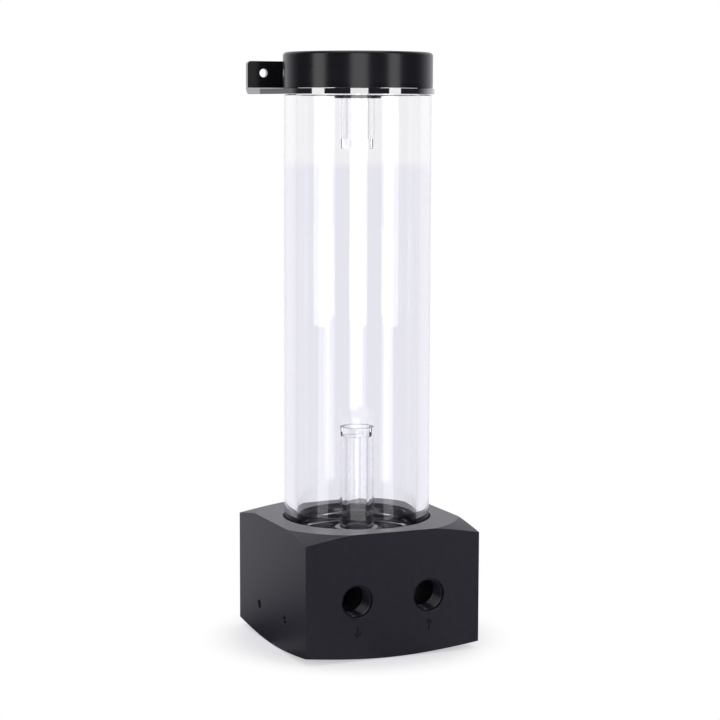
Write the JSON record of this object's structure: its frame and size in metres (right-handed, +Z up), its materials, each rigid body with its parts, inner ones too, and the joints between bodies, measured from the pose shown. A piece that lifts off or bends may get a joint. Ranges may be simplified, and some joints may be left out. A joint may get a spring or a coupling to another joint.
{
  "type": "coolant pump reservoir",
  "caption": "Clear tube coolant reservoir on a square base with a built-in pump, two front ports, a screwed lid and a wall bracket.",
  "frame": {"origin": "bottom centre of the square base, on the surface it stands on", "axes": "+Z up along the tube, -Y out of the face with the two ports, +X to the right seen from there"},
  "size_m": [0.076, 0.076, 0.242],
  "materials": {
    "black_acetal": "fine milled, matt",
    "clear_acrylic": "clear, polished",
    "seal_rubber": "matt",
    "satin_black": "satin turned",
    "gloss_black_sheet": "gloss black",
    "case_plastic": "moulded, matt",
    "zinc_steel": "plain",
    "black_steel": "blackened",
    "board_laminate": "solder resist",
    "core_steel": "laminated",
    "coil_copper": "enamelled wire",
    "cup_steel": "drawn",
    "bush_graphite": "ground",
    "magnet_ferrite": "sintered"
  },
  "bodies": {
    "reservoir": {"base_block": "black_acetal", "reservoir_tube": "clear_acrylic", "tube_base_seal": "seal_rubber", "riser_tube": "clear_acrylic", "pump_case": "case_plastic", "pump_cover": "case_plastic", "cover_screws": "zinc_steel", "circuit_board": "board_laminate", "stator_core": "core_steel", "stator_coils": "coil_copper", "rotor_cup": "cup_steel", "rotor_shaft": "cup_steel", "pump_seal": "seal_rubber", "pump_screws": "black_steel", "cable_grommet": "seal_rubber"},
    "rotor": {"impeller": "case_plastic", "rotor_magnet": "magnet_ferrite", "rotor_bush": "bush_graphite"},
    "bracket": {"wall_bracket": "gloss_black_sheet"},
    "lid_ring": {"lid_seal": "seal_rubber"},
    "lid_body": {"lid": "satin_black", "drop_tube": "clear_acrylic"},
    "top_plug_ring": {"top_plug_seal": "seal_rubber"},
    "top_plug_body": {"top_plug": "satin_black"},
    "fill_plug_ring": {"fill_plug_seal": "seal_rubber"},
    "fill_plug_body": {"fill_plug": "satin_black"}
  },
  "joints": [
    {"name": "impeller_spin", "type": "hinge", "parent": "reservoir", "child": "rotor", "pos_m": [0, 0, 0.0145], "axis": [0, 0, 1], "continuous": true},
    {"name": "bracket_swivel", "type": "hinge", "parent": "reservoir", "child": "bracket", "pos_m": [0, 0, 0.2263], "axis": [0, 0, 1], "range_deg": [-180, 180]},
    {"name": "lid_lift", "type": "slide", "parent": "reservoir", "child": "lid_ring", "axis": [0, 0, 1], "range_m": [0, 0.006]},
    {"name": "lid_turn", "type": "hinge", "parent": "lid_ring", "child": "lid_body", "pos_m": [0, 0, 0.2348], "axis": [0, 0, 1], "range_deg": [0, 1080]},
    {"name": "top_plug_lift", "type": "slide", "parent": "lid_body", "child": "top_plug_ring", "axis": [0, 0, 1], "range_m": [0, 0.00535]},
    {"name": "top_plug_turn", "type": "hinge", "parent": "top_plug_ring", "child": "top_plug_body", "pos_m": [0, 0, 0.2396], "axis": [0, 0, 1], "range_deg": [0, 1440]},
    {"name": "fill_plug_lift", "type": "slide", "parent": "lid_body", "child": "fill_plug_ring", "axis": [0, 0, 1], "range_m": [0, 0.00535]},
    {"name": "fill_plug_turn", "type": "hinge", "parent": "fill_plug_ring", "child": "fill_plug_body", "pos_m": [0, -0.0183, 0.2396], "axis": [0, 0, 1], "range_deg": [0, 1440]}
  ],
  "couplings": [
    {"joint": "lid_turn", "follows": "lid_lift", "rad_per_m": 3141.6},
    {"joint": "top_plug_turn", "follows": "top_plug_lift", "rad_per_m": 4699.5},
    {"joint": "fill_plug_turn", "follows": "fill_plug_lift", "rad_per_m": 4699.5}
  ]
}
